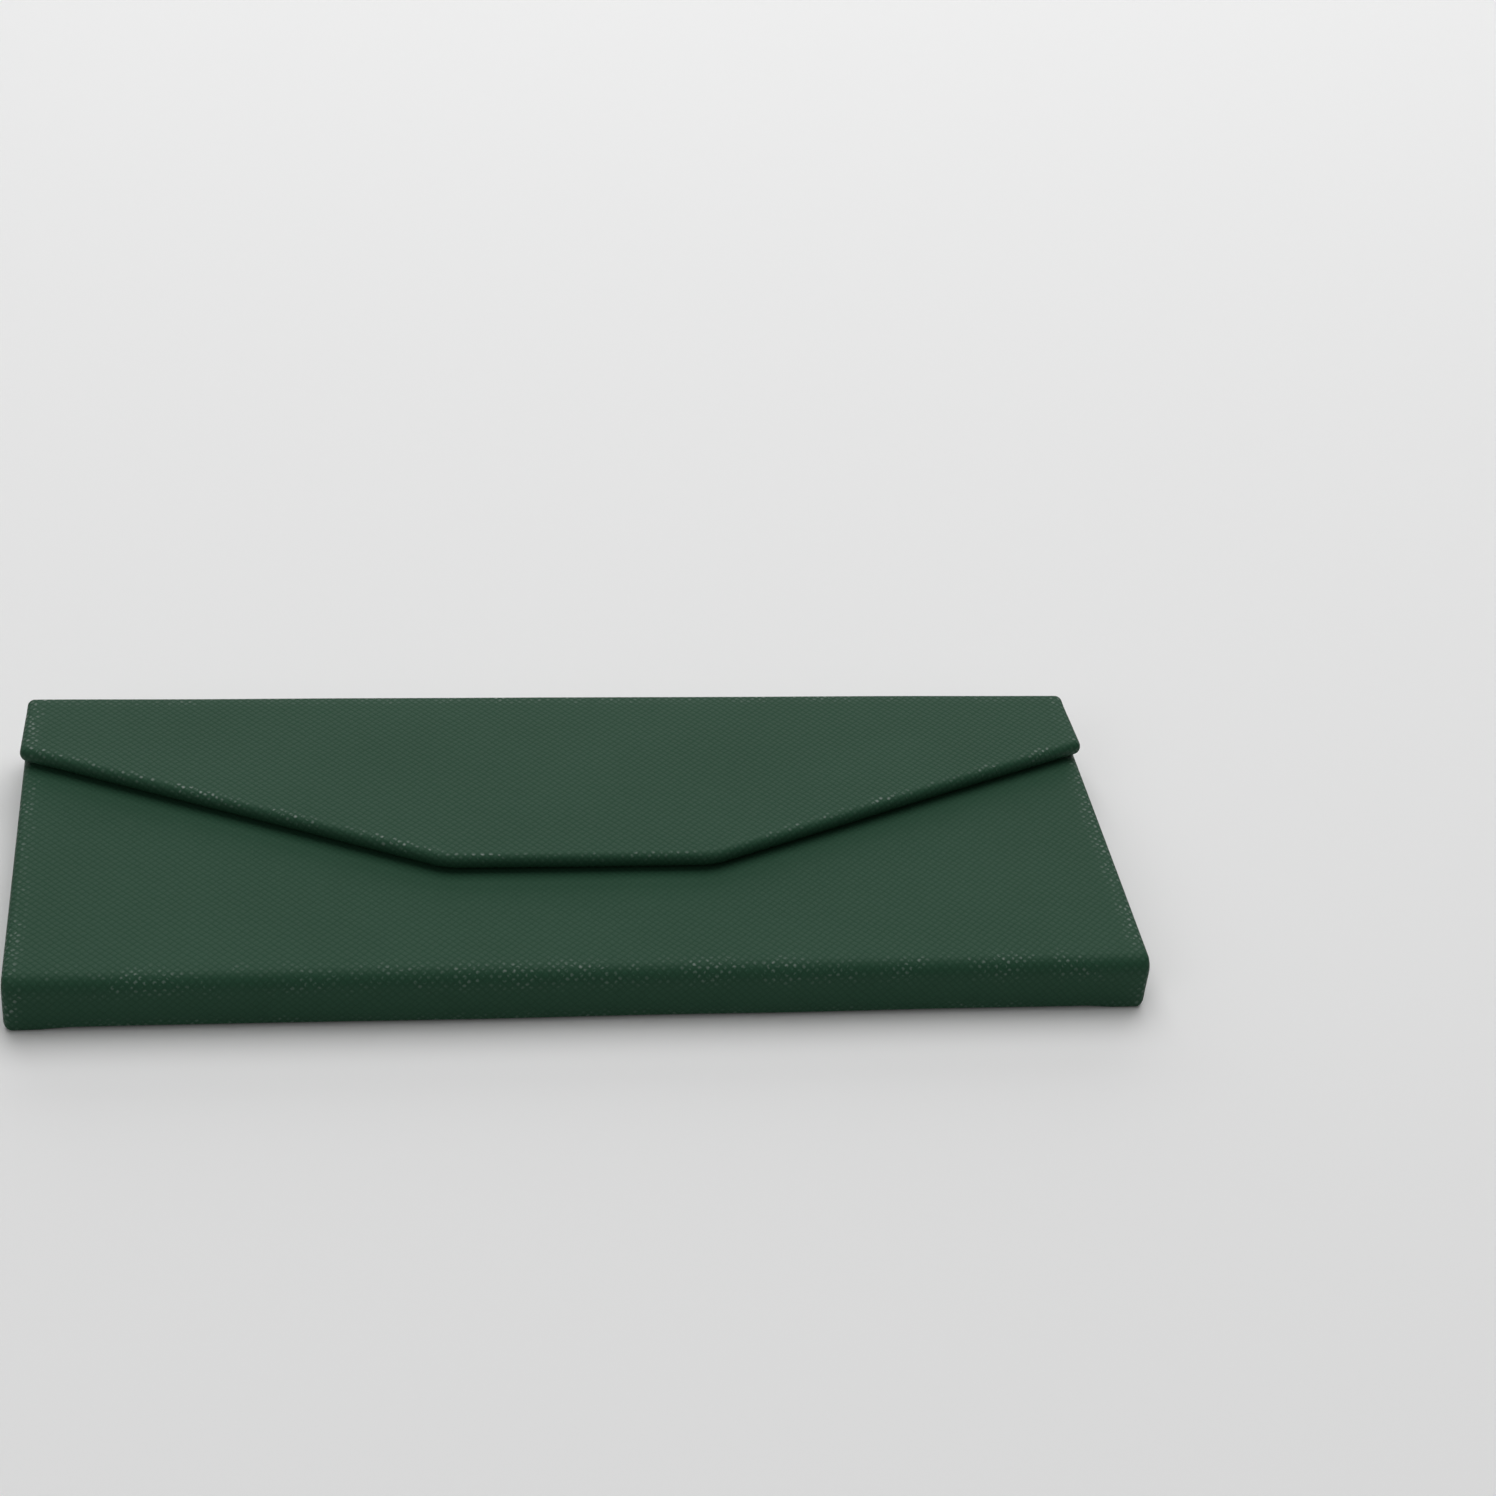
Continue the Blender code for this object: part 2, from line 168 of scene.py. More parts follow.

# Colours
# The groove greens are painted shade in the hollows of the emboss
GROOVE_SHADE_GREENS = ((0.0180, 0.0590, 0.0325, 1), (0.0190, 0.0620, 0.0345, 1))
GREENS = ((0.0200, 0.0660, 0.0365, 1), (0.0212, 0.0690, 0.0385, 1))
# A lighter green for painted glints: painted highlights on pip crowns near the edges
PAINTED_GLINT_GREEN = (0.066, 0.125, 0.093, 1)
NAP_GREYS = ((0.030, 0.034, 0.033, 1), (0.052, 0.056, 0.054, 1))
PILE_GREY = (0.085, 0.09, 0.088, 1)
BOARD_GREYS = ((0.20, 0.18, 0.15, 1), (0.36, 0.33, 0.28, 1))
FLECK = (0.09, 0.08, 0.07, 1)
NICKELS = ((0.50, 0.49, 0.47, 1), (0.68, 0.67, 0.64, 1))
FLOOR_GREY = (0.86, 0.86, 0.86, 1)
WHITE = (1.0, 1.0, 1.0, 1)

# Floor: half its side, in metres, and where it fades into the surround, in millimetres
FLOOR_HALF = 4.0
FLOOR_DROP = 0.02 * MM
FLOOR_FADE = (450.0, 1000.0)
FLOOR_ROUGHNESS = 0.9

# Lamps that face the case: place, size and power
OVERHEAD = ((0.1, 0.5, 1.25), (1.5, 1.3), 14.4)
BEHIND = ((0.1, 1.3, 0.42), (2.0, 0.7), 6.5)
FILL = ((-0.9, -0.9, 0.9), (0.8, 0.8), 2.4)

# How bright the surround is as a light, and as the camera sees it
SURROUND_LIGHT = 0.17
SURROUND_SEEN = 0.74

# Camera: where it stands, and how it is turned, in degrees
CAMERA_PLACE = (-0.04311, -0.33798, 0.27053)
CAMERA_PITCH = 35.59
CAMERA_YAW = 11.28
CAMERA_ROLL = 6.24
CAMERA_LENS = 70.35
CAMERA_SENSOR = 36.0
CAMERA_CLIP = 0.01


# ---------------------------------------------------------------- paths across the case


class Path:
    """A line across the case in the Y-Z plane: a panel's outside, and its inside opposite."""

    def __init__(self, y, z, y_in, z_in):
        self.outer = [Vector((y, z))]
        self.inner = [Vector((y_in, z_in))]
        self.lengths = [0.0]
        self.creases = []

    def line(self, y, z, y_in, z_in):
        """Goes straight on to a point."""
        self._append(Vector((y, z)), Vector((y_in, z_in)))
        return self

    def _append(self, outer, inner):
        self.lengths.append(self.lengths[-1] + (outer - self.outer[-1]).length)
        self.outer.append(outer)
        self.inner.append(inner)

    def arc(self, centre, radius, inner_centre, inner_radius, start, end):
        """Turns round a centre between two angles in degrees."""
        before = self.lengths[-1]
        for step in range(1, ARC_STEPS * 2 + 1):
            angle = math.radians(start + (end - start) * step / (ARC_STEPS * 2))
            turned = Vector((math.cos(angle), math.sin(angle)))
            self._append(centre + turned * radius, inner_centre + turned * inner_radius)
        self.creases.append((before, self.lengths[-1]))
        return self

    @property
    def length(self):
        """The length of the outside."""
        return self.lengths[-1]

    def at(self, s):
        """The outer and inner point at a distance along the outside."""
        last = len(self.lengths) - 2
        index = 0
        while index < last and self.lengths[index + 1] < s:
            index += 1
        step = self.lengths[index + 1] - self.lengths[index]
        share = (s - self.lengths[index]) / step
        outer = self.outer[index].lerp(self.outer[index + 1], share)
        inner = self.inner[index].lerp(self.inner[index + 1], share)
        return outer, inner

    def stations(self, start, end):
        """Distances along the path at which rows of vertices lie."""
        marks = [start]
        for low, high in self.creases:
            marks += [m for m in (low, high) if start < m < end]
        marks.append(end)
        rows = [start]
        for a, b in zip(marks, marks[1:]):
            in_crease = any(low - TINY <= a and b <= high + TINY for low, high in self.creases)
            count = ARC_STEPS if in_crease else max(1, round((b - a) / ROW_STEP))
            rows += [a + (b - a) * i / count for i in range(1, count + 1)]
        return rows


def body_path():
    """Under the lid from the seam, round the spine, and over the top panel to its far edge."""
    inside_y = Y_SPINE + PANEL
    roof = BODY_TOP - PANEL
    path = Path(SEAM_Y, 0.0, SEAM_Y, PANEL)
    foot = SPINE_FOOT_RADIUS
    top = SPINE_TOP_RADIUS
    path.line(Y_SPINE + foot, 0.0, inside_y + INNER_RADIUS, PANEL)
    foot_inner = Vector((inside_y + INNER_RADIUS, PANEL + INNER_RADIUS))
    path.arc(Vector((Y_SPINE + foot, foot)), foot, foot_inner, INNER_RADIUS, 270, 180)
    path.line(Y_SPINE, BODY_TOP - top, inside_y, roof - INNER_RADIUS)
    top_inner = Vector((inside_y + INNER_RADIUS, roof - INNER_RADIUS))
    path.arc(Vector((Y_SPINE + top, BODY_TOP - top)), top, top_inner, INNER_RADIUS, 180, 90)
    path.line(Y_TOP_END, BODY_TOP, Y_TOP_END, roof)
    return path


def flap_path():
    """Under the lid from the seam, up the ridge, and over the flap to its tip."""
    inside_y = Y_RIDGE - PANEL
    floor = CASE_TOP - PANEL
    path = Path(SEAM_Y, 0.0, SEAM_Y, PANEL)
    foot = CREASE_FOOT_RADIUS
    top = CREASE_TOP_RADIUS
    path.line(Y_RIDGE - foot, 0.0, inside_y - INNER_RADIUS, PANEL)
    foot_inner = Vector((inside_y - INNER_RADIUS, PANEL + INNER_RADIUS))
    path.arc(Vector((Y_RIDGE - foot, foot)), foot, foot_inner, INNER_RADIUS, 270, 360)
    path.line(Y_RIDGE, CASE_TOP - top, inside_y, floor - INNER_RADIUS)
    top_inner = Vector((inside_y - INNER_RADIUS, floor - INNER_RADIUS))
    path.arc(Vector((Y_RIDGE - top, CASE_TOP - top)), top, top_inner, INNER_RADIUS, 0, 90)
    flat_y = Y_RIDGE - CREASE_REACH
    path.line(flat_y, CASE_TOP, flat_y, floor)
    path.line(Y_TIP, CASE_TOP, Y_TIP, floor)
    return path


def flat_path(start, end, inward):
    """A straight path between two (y, z) points, whose inside lies off by the vector inward."""
    path = Path(start[0], start[1], start[0] + inward[0], start[1] + inward[1])
    return path.line(end[0], end[1], end[0] + inward[0], end[1] + inward[1])


# ---------------------------------------------------------------- outlines on the flat sheet


def smooth(value):
    """Eases from 0 to 1."""
    value = min(1.0, max(0.0, value))
    return value * value * (3.0 - 2.0 * value)


class Corner:
    """A rounded corner of an outline, and the mitre line that runs inwards from it."""

    def __init__(self, corner, inward, centre, radius):
        self.corner = corner
        self.inward = inward
        self.centre = centre
        self.radius = radius

    def mirrored(self):
        """The same corner on the left."""
        places = (self.corner, self.inward, self.centre)
        return Corner(*(Vector((-place.x, place.y)) for place in places), self.radius)

    def reach(self, point, normal):
        """How far in from a point of the outline the mitre line is met."""
        if (point - self.centre).length < self.radius * ON_ARC:
            return self.radius
        across = self.inward.x * normal.y - self.inward.y * normal.x
        if abs(across) < TINY:
            return math.inf
        gap = point - self.corner
        inset = (self.inward.x * gap.y - self.inward.y * gap.x) / across
        return inset if inset > 0.0 else math.inf


def corner_arc(before, corner, after, radius, corners):
    """Points and outward normals of an arc that rounds a corner of a right-hand outline."""
    to_before = (before - corner).normalized()
    to_after = (after - corner).normalized()
    half = to_before.angle(to_after) / 2
    inward = (to_before + to_after).normalized()
    centre = corner + inward * radius / math.sin(half)
    corners.append(Corner(corner, inward, centre, radius))
    first = (corner + to_before * radius / math.tan(half) - centre).normalized()
    last = (corner + to_after * radius / math.tan(half) - centre).normalized()
    points = []
    for step in range(ARC_STEPS + 1):
        normal = first.slerp(last, step / ARC_STEPS)
        points.append((centre + normal * radius, normal))
    return points


def straight(start, end, normal, steps):
    """Points along a straight edge, without its two ends."""
    return [(start.lerp(end, i / steps), normal) for i in range(1, steps)]


def flap_edge(path, first_row, inset=0.0):
    """Right-hand outline of the flap sheet from a row, down its side and round to the tip."""
    half = FLAP_HALF - inset
    reach = Y_RIDGE - Y_TIP
    tip_s = path.length - inset
    shoulder_s = path.length - reach * (1.0 - FLAP_SIDE_SHARE)
    shoulder = Vector((FLAP_HALF, shoulder_s))
    tip = Vector((FLAP_HALF * TIP_SHARE, path.length))
    slope = (tip - shoulder).normalized()
    normal = Vector((slope.y, -slope.x))
    moved = shoulder - normal * inset
    shoulder = moved + slope * ((half - moved.x) / slope.x)
    tip = moved + slope * ((tip_s - moved.y) / slope.y)
    start = Vector((half, first_row))
    side = Vector((1.0, 0.0))
    corners = []
    at_shoulder = corner_arc(start, shoulder, tip, SHOULDER_RADIUS, corners)
    radius = max(TIP_RADIUS - inset, TIP_RADIUS_LEAST)
    at_tip = corner_arc(shoulder, tip, Vector((-tip.x, tip.y)), radius, corners)
    rows = [(Vector((half, s)), side) for s in path.stations(first_row, at_shoulder[0][0].y)[:-1]]
    rows += at_shoulder
    steps = round((at_tip[0][0] - at_shoulder[-1][0]).length / ROW_STEP)
    rows += straight(at_shoulder[-1][0], at_tip[0][0], normal, steps)
    rows += at_tip
    return rows, corners


def rectangle_edge(path, half, radius, closed_start=False):
    """Right-hand outline of a rectangular sheet that ends square at the end of its path."""
    low = Vector((half, 0.0))
    high = Vector((half, path.length))
    corners = []
    far = corner_arc(low, high, Vector((0.0, path.length)), radius, corners)
    side = Vector((1.0, 0.0))
    rows = []
    start = 0.0
    if closed_start:
        near = corner_arc(Vector((0.0, 0.0)), low, high, radius, corners)
        rows += near
        start = near[-1][0].y
    inner = path.stations(start, far[0][0].y)[1 if closed_start else 0:-1]
    rows += [(Vector((half, s)), side) for s in inner]
    rows += far
    return rows, corners


def turned_section(depth, hem, radius):
    """How a turned edge goes round its board: (inset, depth, length run) at each ring."""
    ring = []
    radius = min(radius, depth / ROUND_LIMIT)
    for step in range(ARC_STEPS + 1):
        angle = math.pi / 2 * step / ARC_STEPS
        ring.append((radius - radius * math.sin(angle), radius - radius * math.cos(angle)))
    for step in range(ARC_STEPS + 1):
        angle = math.pi / 2 * step / ARC_STEPS
        inset = radius - radius * math.cos(angle)
        ring.append((inset, depth - radius + radius * math.sin(angle)))
    if hem > radius:
        for step in range(1, HEM_STEPS + 1):
            ring.append((radius + (hem - radius) * step / HEM_STEPS, depth))
    run = 0.0
    section = [(ring[0][0], ring[0][1], 0.0)]
    for a, b in zip(ring, ring[1:]):
        run += math.hypot(b[0] - a[0], b[1] - a[1])
        section.append((b[0], b[1], run))
    return section


# ---------------------------------------------------------------- sheets


def place_on_path(path, x, s, depth_share, wavy):
    """The point of a panel at a place on the unrolled sheet and a share of the panel's depth."""
    outer, inner = path.at(s)
    point = outer.lerp(inner, depth_share)
    if wavy:
        outward = (outer - inner).normalized()
        sample = Vector((x * WAVES_ALONG, outer.x * WAVES_ACROSS, outer.y * WAVES_ACROSS))
        point += outward * noise.noise(sample) * WAVE
        near_end = smooth((abs(x) - (X_END - HOLLOW_END)) / HOLLOW_END_EASE)
        low = 1.0 - smooth(outer.y / HOLLOW_HEIGHT)
        point.y += LID_HOLLOW * (1.0 - near_end) * low * (1.0 - depth_share)
    return Vector((x, point.x, point.y))


def crease_share(path, s):
    """1 in the middle of a crease, easing to 0 just beyond it."""
    share = 0.0
    for low, high in path.creases:
        middle = (low + high) / 2
        reach = (high - low) / 2 + CREASE_EASE
        share = max(share, 1.0 - smooth(abs(s - middle) / reach))
    return share


def crease_depth(path, s):
    """How deep the turned edge is: full over a board, pinched at a crease."""
    return 1.0 - CREASE_PINCH * crease_share(path, s)


def edge_chain(edge, grid, closed_start, closed_end):
    """The edge of a sheet, from right-hand start to left: (place, normal, vertex) at each step."""
    last = len(edge) - 1
    chain = [(p, n, grid[i][COLUMNS]) for i, (p, n) in enumerate(edge)]
    if closed_end:
        for j in range(COLUMNS - 1, 0, -1):
            at = Vector((grid[last][j].co.x, edge[last][0].y))
            chain.append((at, Vector((0.0, 1.0)), grid[last][j]))
    for i in range(last, -1, -1):
        p, n = edge[i]
        chain.append((Vector((-p.x, p.y)), Vector((-n.x, n.y)), grid[i][0]))
    if closed_start:
        for j in range(1, COLUMNS):
            at = Vector((grid[0][j].co.x, edge[0][0].y))
            chain.append((at, Vector((0.0, -1.0)), grid[0][j]))
    return chain


def make_sheet(name, path, outline, section, depth, skin, closed_end=False, closed_start=False,
               run_sign=1.0, wavy=True, pinched=True):
    """A leather or cloth sheet over a panel, turned round its edges, as a closed solid."""
    bm = bmesh.new()
    sheet = bm.verts.layers.float_vector.new("sheet")
    rim = bm.verts.layers.float.new("rim")
    radius = section[0][0]
    edge, corners = outline
    corners = corners + [c.mirrored() for c in corners]

    # The rim attribute holds where painted glints go: near the edges, at the creases and round the
    # turned edges
    def add(x, s, depth_at, unrolled, glint_share):
        share = depth_at / depth
        if pinched:
            share *= crease_depth(path, s)
        vert = bm.verts.new(place_on_path(path, x, s, share, wavy))
        vert[sheet] = Vector((unrolled.x, run_sign * unrolled.y, 0.0))
        vert[rim] = glint_share
        return vert

    grid = []
    for point, normal in edge:
        corner = point - normal * radius
        bent = crease_share(path, corner.y)
        row = []
        for j in range(COLUMNS + 1):
            x = corner.x * (2.0 * j / COLUMNS - 1.0)
            near = smooth(1.0 - (corner.x - abs(x)) / GLINT_WIDTH)
            row.append(add(x, corner.y, 0.0, Vector((x, corner.y)), max(near, bent)))
        grid.append(row)
    chain = edge_chain(edge, grid, closed_start, closed_end)
    for low, high in zip(grid, grid[1:]):
        for j in range(COLUMNS):
            bm.faces.new((low[j], low[j + 1], high[j + 1], high[j]))
    turned = [[link[2] for link in chain]]
    limits = [min([math.inf] + [c.reach(p, n) for c in corners]) for p, n, _ in chain]
    for inset, depth_at, run in section[1:]:
        ring = []
        glint_share = 1.0 - smooth(run / (GLINT_TURN * radius))
        for (p, n, _), limit in zip(chain, limits):
            at = p - n * min(inset, limit)
            unrolled = p - n * (radius - run)
            ring.append(add(at.x, at.y, depth_at, unrolled, glint_share))
        turned.append(ring)
    last = len(edge) - 1
    count = len(chain)
    for c in range(count if closed_start else count - 1):
        if c == last and not closed_end:
            continue
        d = (c + 1) % count
        for a, b in zip(turned, turned[1:]):
            bm.faces.new((a[c], a[d], b[d], b[c]))
    merged = [v for ring in turned[1:] for v in ring]
    bmesh.ops.remove_doubles(bm, verts=merged, dist=WELD)
    outer, inner = path.at(edge[last // 2][0].y)
    outward = Vector((0.0, outer.x - inner.x, outer.y - inner.y))
    return close_sheet(name, bm, grid[last // 2][COLUMNS // 2], outward, skin)


def close_sheet(name, bm, probe, outward, skin):
    """Turns an open sheet so that its vertex probe faces outward, and makes it a solid."""
    bmesh.ops.recalc_face_normals(bm, faces=bm.faces)
    bm.normal_update()
    if probe.normal.dot(outward) < 0:
        bmesh.ops.reverse_faces(bm, faces=bm.faces)
    mesh = bpy.data.meshes.new(name)
    bm.to_mesh(mesh)
    bm.free()
    return finish_mesh(name, mesh, skin)


def finish_mesh(name, mesh, skin):
    """Gives an open sheet its thickness, inwards, and shades it smooth."""
    obj = bpy.data.objects.new(name + "_open", mesh)
    bpy.context.scene.collection.objects.link(obj)
    solid = obj.modifiers.new("thickness", "SOLIDIFY")
    solid.thickness = skin
    solid.offset = -1.0
    solid.use_even_offset = False
    bpy.context.view_layer.update()
    evaluated = obj.evaluated_get(bpy.context.evaluated_depsgraph_get())
    final = bpy.data.meshes.new_from_object(evaluated)
    bpy.data.objects.remove(obj)
    final.name = name
    final.shade_smooth()
    piece = bpy.data.objects.new(name, final)
    bpy.context.scene.collection.objects.link(piece)
    return piece


# ---------------------------------------------------------------- materials


class Nodes:
    """Short calls for building a material's node tree."""

    # Sockets of a mix node that hold colours
    COLOUR_A = 6
    COLOUR_B = 7
    COLOUR_OUT = 2

    def __init__(self, name):
        self.material = bpy.data.materials.new(name)
        self.material.use_nodes = True
        self.tree = self.material.node_tree
        self.shader = self.tree.nodes["Principled BSDF"]

    def link(self, value, socket):
        """Sets a socket to a number, a colour or another node's output."""
        if isinstance(value, bpy.types.NodeSocket):
            self.tree.links.new(value, socket)
        else:
            socket.default_value = value

    def math(self, operation, a, b=0.0):
        """A math node."""
        node = self.tree.nodes.new("ShaderNodeMath")
        node.operation = operation
        self.link(a, node.inputs[0])
        self.link(b, node.inputs[1])
        return node.outputs[0]

    def vector(self, operation, a, b):
        """A vector math node."""
        node = self.tree.nodes.new("ShaderNodeVectorMath")
        node.operation = operation
        self.link(a, node.inputs[0])
        self.link(b, node.inputs["Scale"] if operation == "SCALE" else node.inputs[1])
        return node.outputs[0]

    def attribute(self, name, output):
        """A mesh attribute."""
        node = self.tree.nodes.new("ShaderNodeAttribute")
        node.attribute_name = name
        return node.outputs[output]

    def coordinates(self):
        """Object coordinates in millimetres."""
        node = self.tree.nodes.new("ShaderNodeTexCoord")
        return self.vector("SCALE", node.outputs["Object"], 1.0 / MM)

    def sheet_place(self):
        """The place on the unrolled sheet in millimetres."""
        return self.vector("SCALE", self.attribute("sheet", "Vector"), 1.0 / MM)

    def noise(self, vector, scale, detail, output="Fac"):
        """A noise texture."""
        node = self.tree.nodes.new("ShaderNodeTexNoise")
        self.link(vector, node.inputs["Vector"])
        node.inputs["Scale"].default_value = scale
        node.inputs["Detail"].default_value = detail
        return node.outputs[output]

    def range(self, value, low, high, to_low, to_high):
        """Maps a value from one range to another, clamped."""
        node = self.tree.nodes.new("ShaderNodeMapRange")
        self.link(value, node.inputs["Value"])
        node.inputs["From Min"].default_value = low
        node.inputs["From Max"].default_value = high
        node.inputs["To Min"].default_value = to_low
        node.inputs["To Max"].default_value = to_high
        return node.outputs[0]

    def mix(self, share, a, b):
        """Mixes two colours."""
        node = self.tree.nodes.new("ShaderNodeMix")
        node.data_type = "RGBA"
        self.link(share, node.inputs["Factor"])
        self.link(a, node.inputs[self.COLOUR_A])
        self.link(b, node.inputs[self.COLOUR_B])
        return node.outputs[self.COLOUR_OUT]

    def bump(self, height, distance):
        """A bump node."""
        node = self.tree.nodes.new("ShaderNodeBump")
        node.inputs["Strength"].default_value = 1.0
        node.inputs["Distance"].default_value = distance
        self.link(height, node.inputs["Height"])
        return node.outputs[0]

    def distance(self, vector):
        """How long a vector is."""
        node = self.tree.nodes.new("ShaderNodeVectorMath")
        node.operation = "LENGTH"
        self.link(vector, node.inputs[0])
        return node.outputs["Value"]

    def split(self, vector):
        """The X and Y of a vector."""
        node = self.tree.nodes.new("ShaderNodeSeparateXYZ")
        self.link(vector, node.inputs[0])
        return node.outputs["X"], node.outputs["Y"]

    def surface(self, colour, roughness, normal):
        """Joins the colour, roughness and normal to the shader."""
        self.link(colour, self.shader.inputs["Base Color"])
        self.link(roughness, self.shader.inputs["Roughness"])
        self.link(normal, self.shader.inputs["Normal"])


def leather_material():
    """Dark green leather with a diagonal cross-hatch emboss, its grooves painted a little darker as
    shade, and painted glints on pip crowns near the edges, where the shine is raised too.
    """
    n = Nodes("embossed_leather")
    flat = n.sheet_place()
    wander = n.vector("SUBTRACT", n.noise(flat, WANDER_SCALE, 2.0, "Color"), (0.5, 0.5, 0.5))
    placed = n.vector("ADD", flat, n.vector("SCALE", wander, HATCH_WANDER))
    x, y = n.split(placed)
    turn = math.pi / (math.sqrt(2.0) * HATCH / MM)
    along = n.math("MULTIPLY", n.math("ADD", x, y), turn)
    across = n.math("MULTIPLY", n.math("SUBTRACT", x, y), turn)
    ridges = n.math("ABSOLUTE", n.math("SINE", along))
    rills = n.math("ABSOLUTE", n.math("SINE", across))
    pips = n.math("POWER", n.math("MULTIPLY", ridges, rills), PIP_SHAPE)
    grain = n.noise(flat, GRAIN_SCALE, 3.0)
    height = n.math("ADD", pips, n.math("MULTIPLY", grain, GRAIN_SHARE))
    cloud = n.noise(flat, CLOUD_SCALE, 3.0)
    rim = n.attribute("rim", "Fac")
    shade = n.range(cloud, 0.35, 0.65, 0.0, 1.0)
    # Grooves get the darker greens: painted shade in the hollows of the emboss
    deep = n.mix(shade, *GROOVE_SHADE_GREENS)
    raised = n.mix(shade, *GREENS)
    colour = n.mix(n.range(pips, 0.15, 0.75, 0.0, 1.0), deep, raised)
    # Painted glints: patchy specks on the pip crowns near the edges are painted a lighter green,
    # and their specular level is raised as well
    patches = n.range(n.noise(flat, PATCH_SCALE, 2.0), 0.42, 0.62, 0.15, 1.0)
    specks = n.range(n.noise(flat, SPECK_SCALE, 1.0), 0.46, 0.62, 0.0, 1.0)
    crowns = n.range(pips, 0.6, 0.95, 0.0, 0.5)
    crowns = n.math("MULTIPLY", n.math("MULTIPLY", patches, specks), crowns)
    glints = n.math("MULTIPLY", rim, crowns)
    colour = n.mix(glints, colour, PAINTED_GLINT_GREEN)
    polish = n.math("ADD", pips, n.math("MULTIPLY", cloud, CLOUD_SHARE))
    rough = n.range(polish, 0.2, 1.2, *LEATHER_ROUGHNESS)
    n.surface(colour, rough, n.bump(height, EMBOSS_DEPTH))
    n.link(n.range(glints, 0.0, 0.5, *LEATHER_SHINE), n.shader.inputs["Specular IOR Level"])
    return n.material


def suede_material():
    """Short-pile microfibre: dull, mottled, with a soft sheen."""
    n = Nodes("microfibre")
    place = n.sheet_place()
    nap = n.noise(place, NAP_SCALE, 4.0)
    pile = n.noise(place, PILE_SCALE, 3.0)
    colour = n.mix(n.range(nap, 0.35, 0.65, 0.0, 1.0), *NAP_GREYS)
    colour = n.mix(n.range(pile, 0.4, 0.7, 0.0, 0.3), colour, PILE_GREY)
    n.surface(colour, PILE_ROUGHNESS, n.bump(pile, PILE_DEPTH))
    n.shader.inputs["Sheen Weight"].default_value = PILE_SHEEN
    n.shader.inputs["Sheen Roughness"].default_value = PILE_SHEEN_ROUGHNESS
    return n.material


def board_material():
    """Grey board: fibres and flecks."""
    n = Nodes("grey_board")
    place = n.coordinates()
    fibre = n.noise(place, FIBRE_SCALE, 5.0)
    fleck = n.noise(place, FLECK_SCALE, 2.0)
    colour = n.mix(n.range(fibre, 0.35, 0.7, 0.0, 1.0), *BOARD_GREYS)
    colour = n.mix(n.range(fleck, 0.62, 0.75, 0.0, 0.7), colour, FLECK)
    rough = n.range(fibre, 0.3, 0.7, *BOARD_ROUGHNESS)
    n.surface(colour, rough, n.bump(fibre, FIBRE_DEPTH))
    return n.material


def magnet_material():
    """Nickel plate with fine scuffs."""
    n = Nodes("nickel")
    place = n.coordinates()
    scuff = n.noise(place, SCUFF_SCALE, 6.0)
    colour = n.mix(scuff, *NICKELS)
    rough = n.range(scuff, 0.3, 0.7, *NICKEL_ROUGHNESS)
    n.surface(colour, rough, n.bump(scuff, SCUFF_DEPTH))
    n.shader.inputs["Metallic"].default_value = 1.0
    return n.material


# ---------------------------------------------------------------- pieces


def dress(piece, material):
    """Gives a piece its material."""
    piece.data.materials.clear()
    piece.data.materials.append(material)


def make_case_leather(leather):
    """Leather round the lid, the spine and the top panel."""
    path = body_path()
    edge = rectangle_edge(path, X_END, PANEL_CORNER)
    section = turned_section(PANEL, HEM, EDGE_RADIUS)
    piece = make_sheet("case_leather", path, edge, section, PANEL, SKIN, closed_end=True,
                       run_sign=-1.0, pinched=False)
    dress(piece, leather)
    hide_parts("body_wrap")
    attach(piece, "case_body")


def ridge_split(path):
    """Where the ridge's leather is parted, half way up."""
    return sum(path.creases[0] + path.creases[1]) / 4


def make_ridge_leather(leather):
    """Leather from under the lid, round the lower crease, to half way up the ridge."""
    path = flap_path()
    split = ridge_split(path)
    side = Vector((1.0, 0.0))
    edge = [(Vector((X_END, s)), side) for s in path.stations(0.0, split)]
    section = turned_section(PANEL, FLAP_HEM, EDGE_RADIUS)
    piece = make_sheet("ridge_leather", path, (edge, []), section, PANEL, SKIN)
    dress(piece, leather)
    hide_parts("ridge_wrap")
    bend_at_lower_crease(piece)


def side_trim(path, s):
    """How much narrower than its shoulder the flap is: it widens steadily from the upper crease."""
    low = path.creases[1][0]
    shoulder = path.length - (Y_RIDGE - Y_TIP) * (1.0 - FLAP_SIDE_SHARE)
    return (FLAP_HALF - X_END) * (1.0 - min(1.0, max(0.0, (s - low) / (shoulder - low))))


def make_flap_leather(leather):
    """Leather from half way up the ridge, round the upper crease, and over and round the flap."""
    path = flap_path()
    split = ridge_split(path)
    rows, corners = flap_edge(path, split)
    edge = [(Vector((p.x - side_trim(path, p.y), p.y)), normal) for p, normal in rows]
    section = turned_section(PANEL, FLAP_HEM, EDGE_RADIUS)
    piece = make_sheet("flap_leather", path, (edge, corners), section, PANEL, SKIN, closed_end=True)
    dress(piece, leather)
    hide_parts("flap_wrap")
    bend_at_upper_crease(piece)


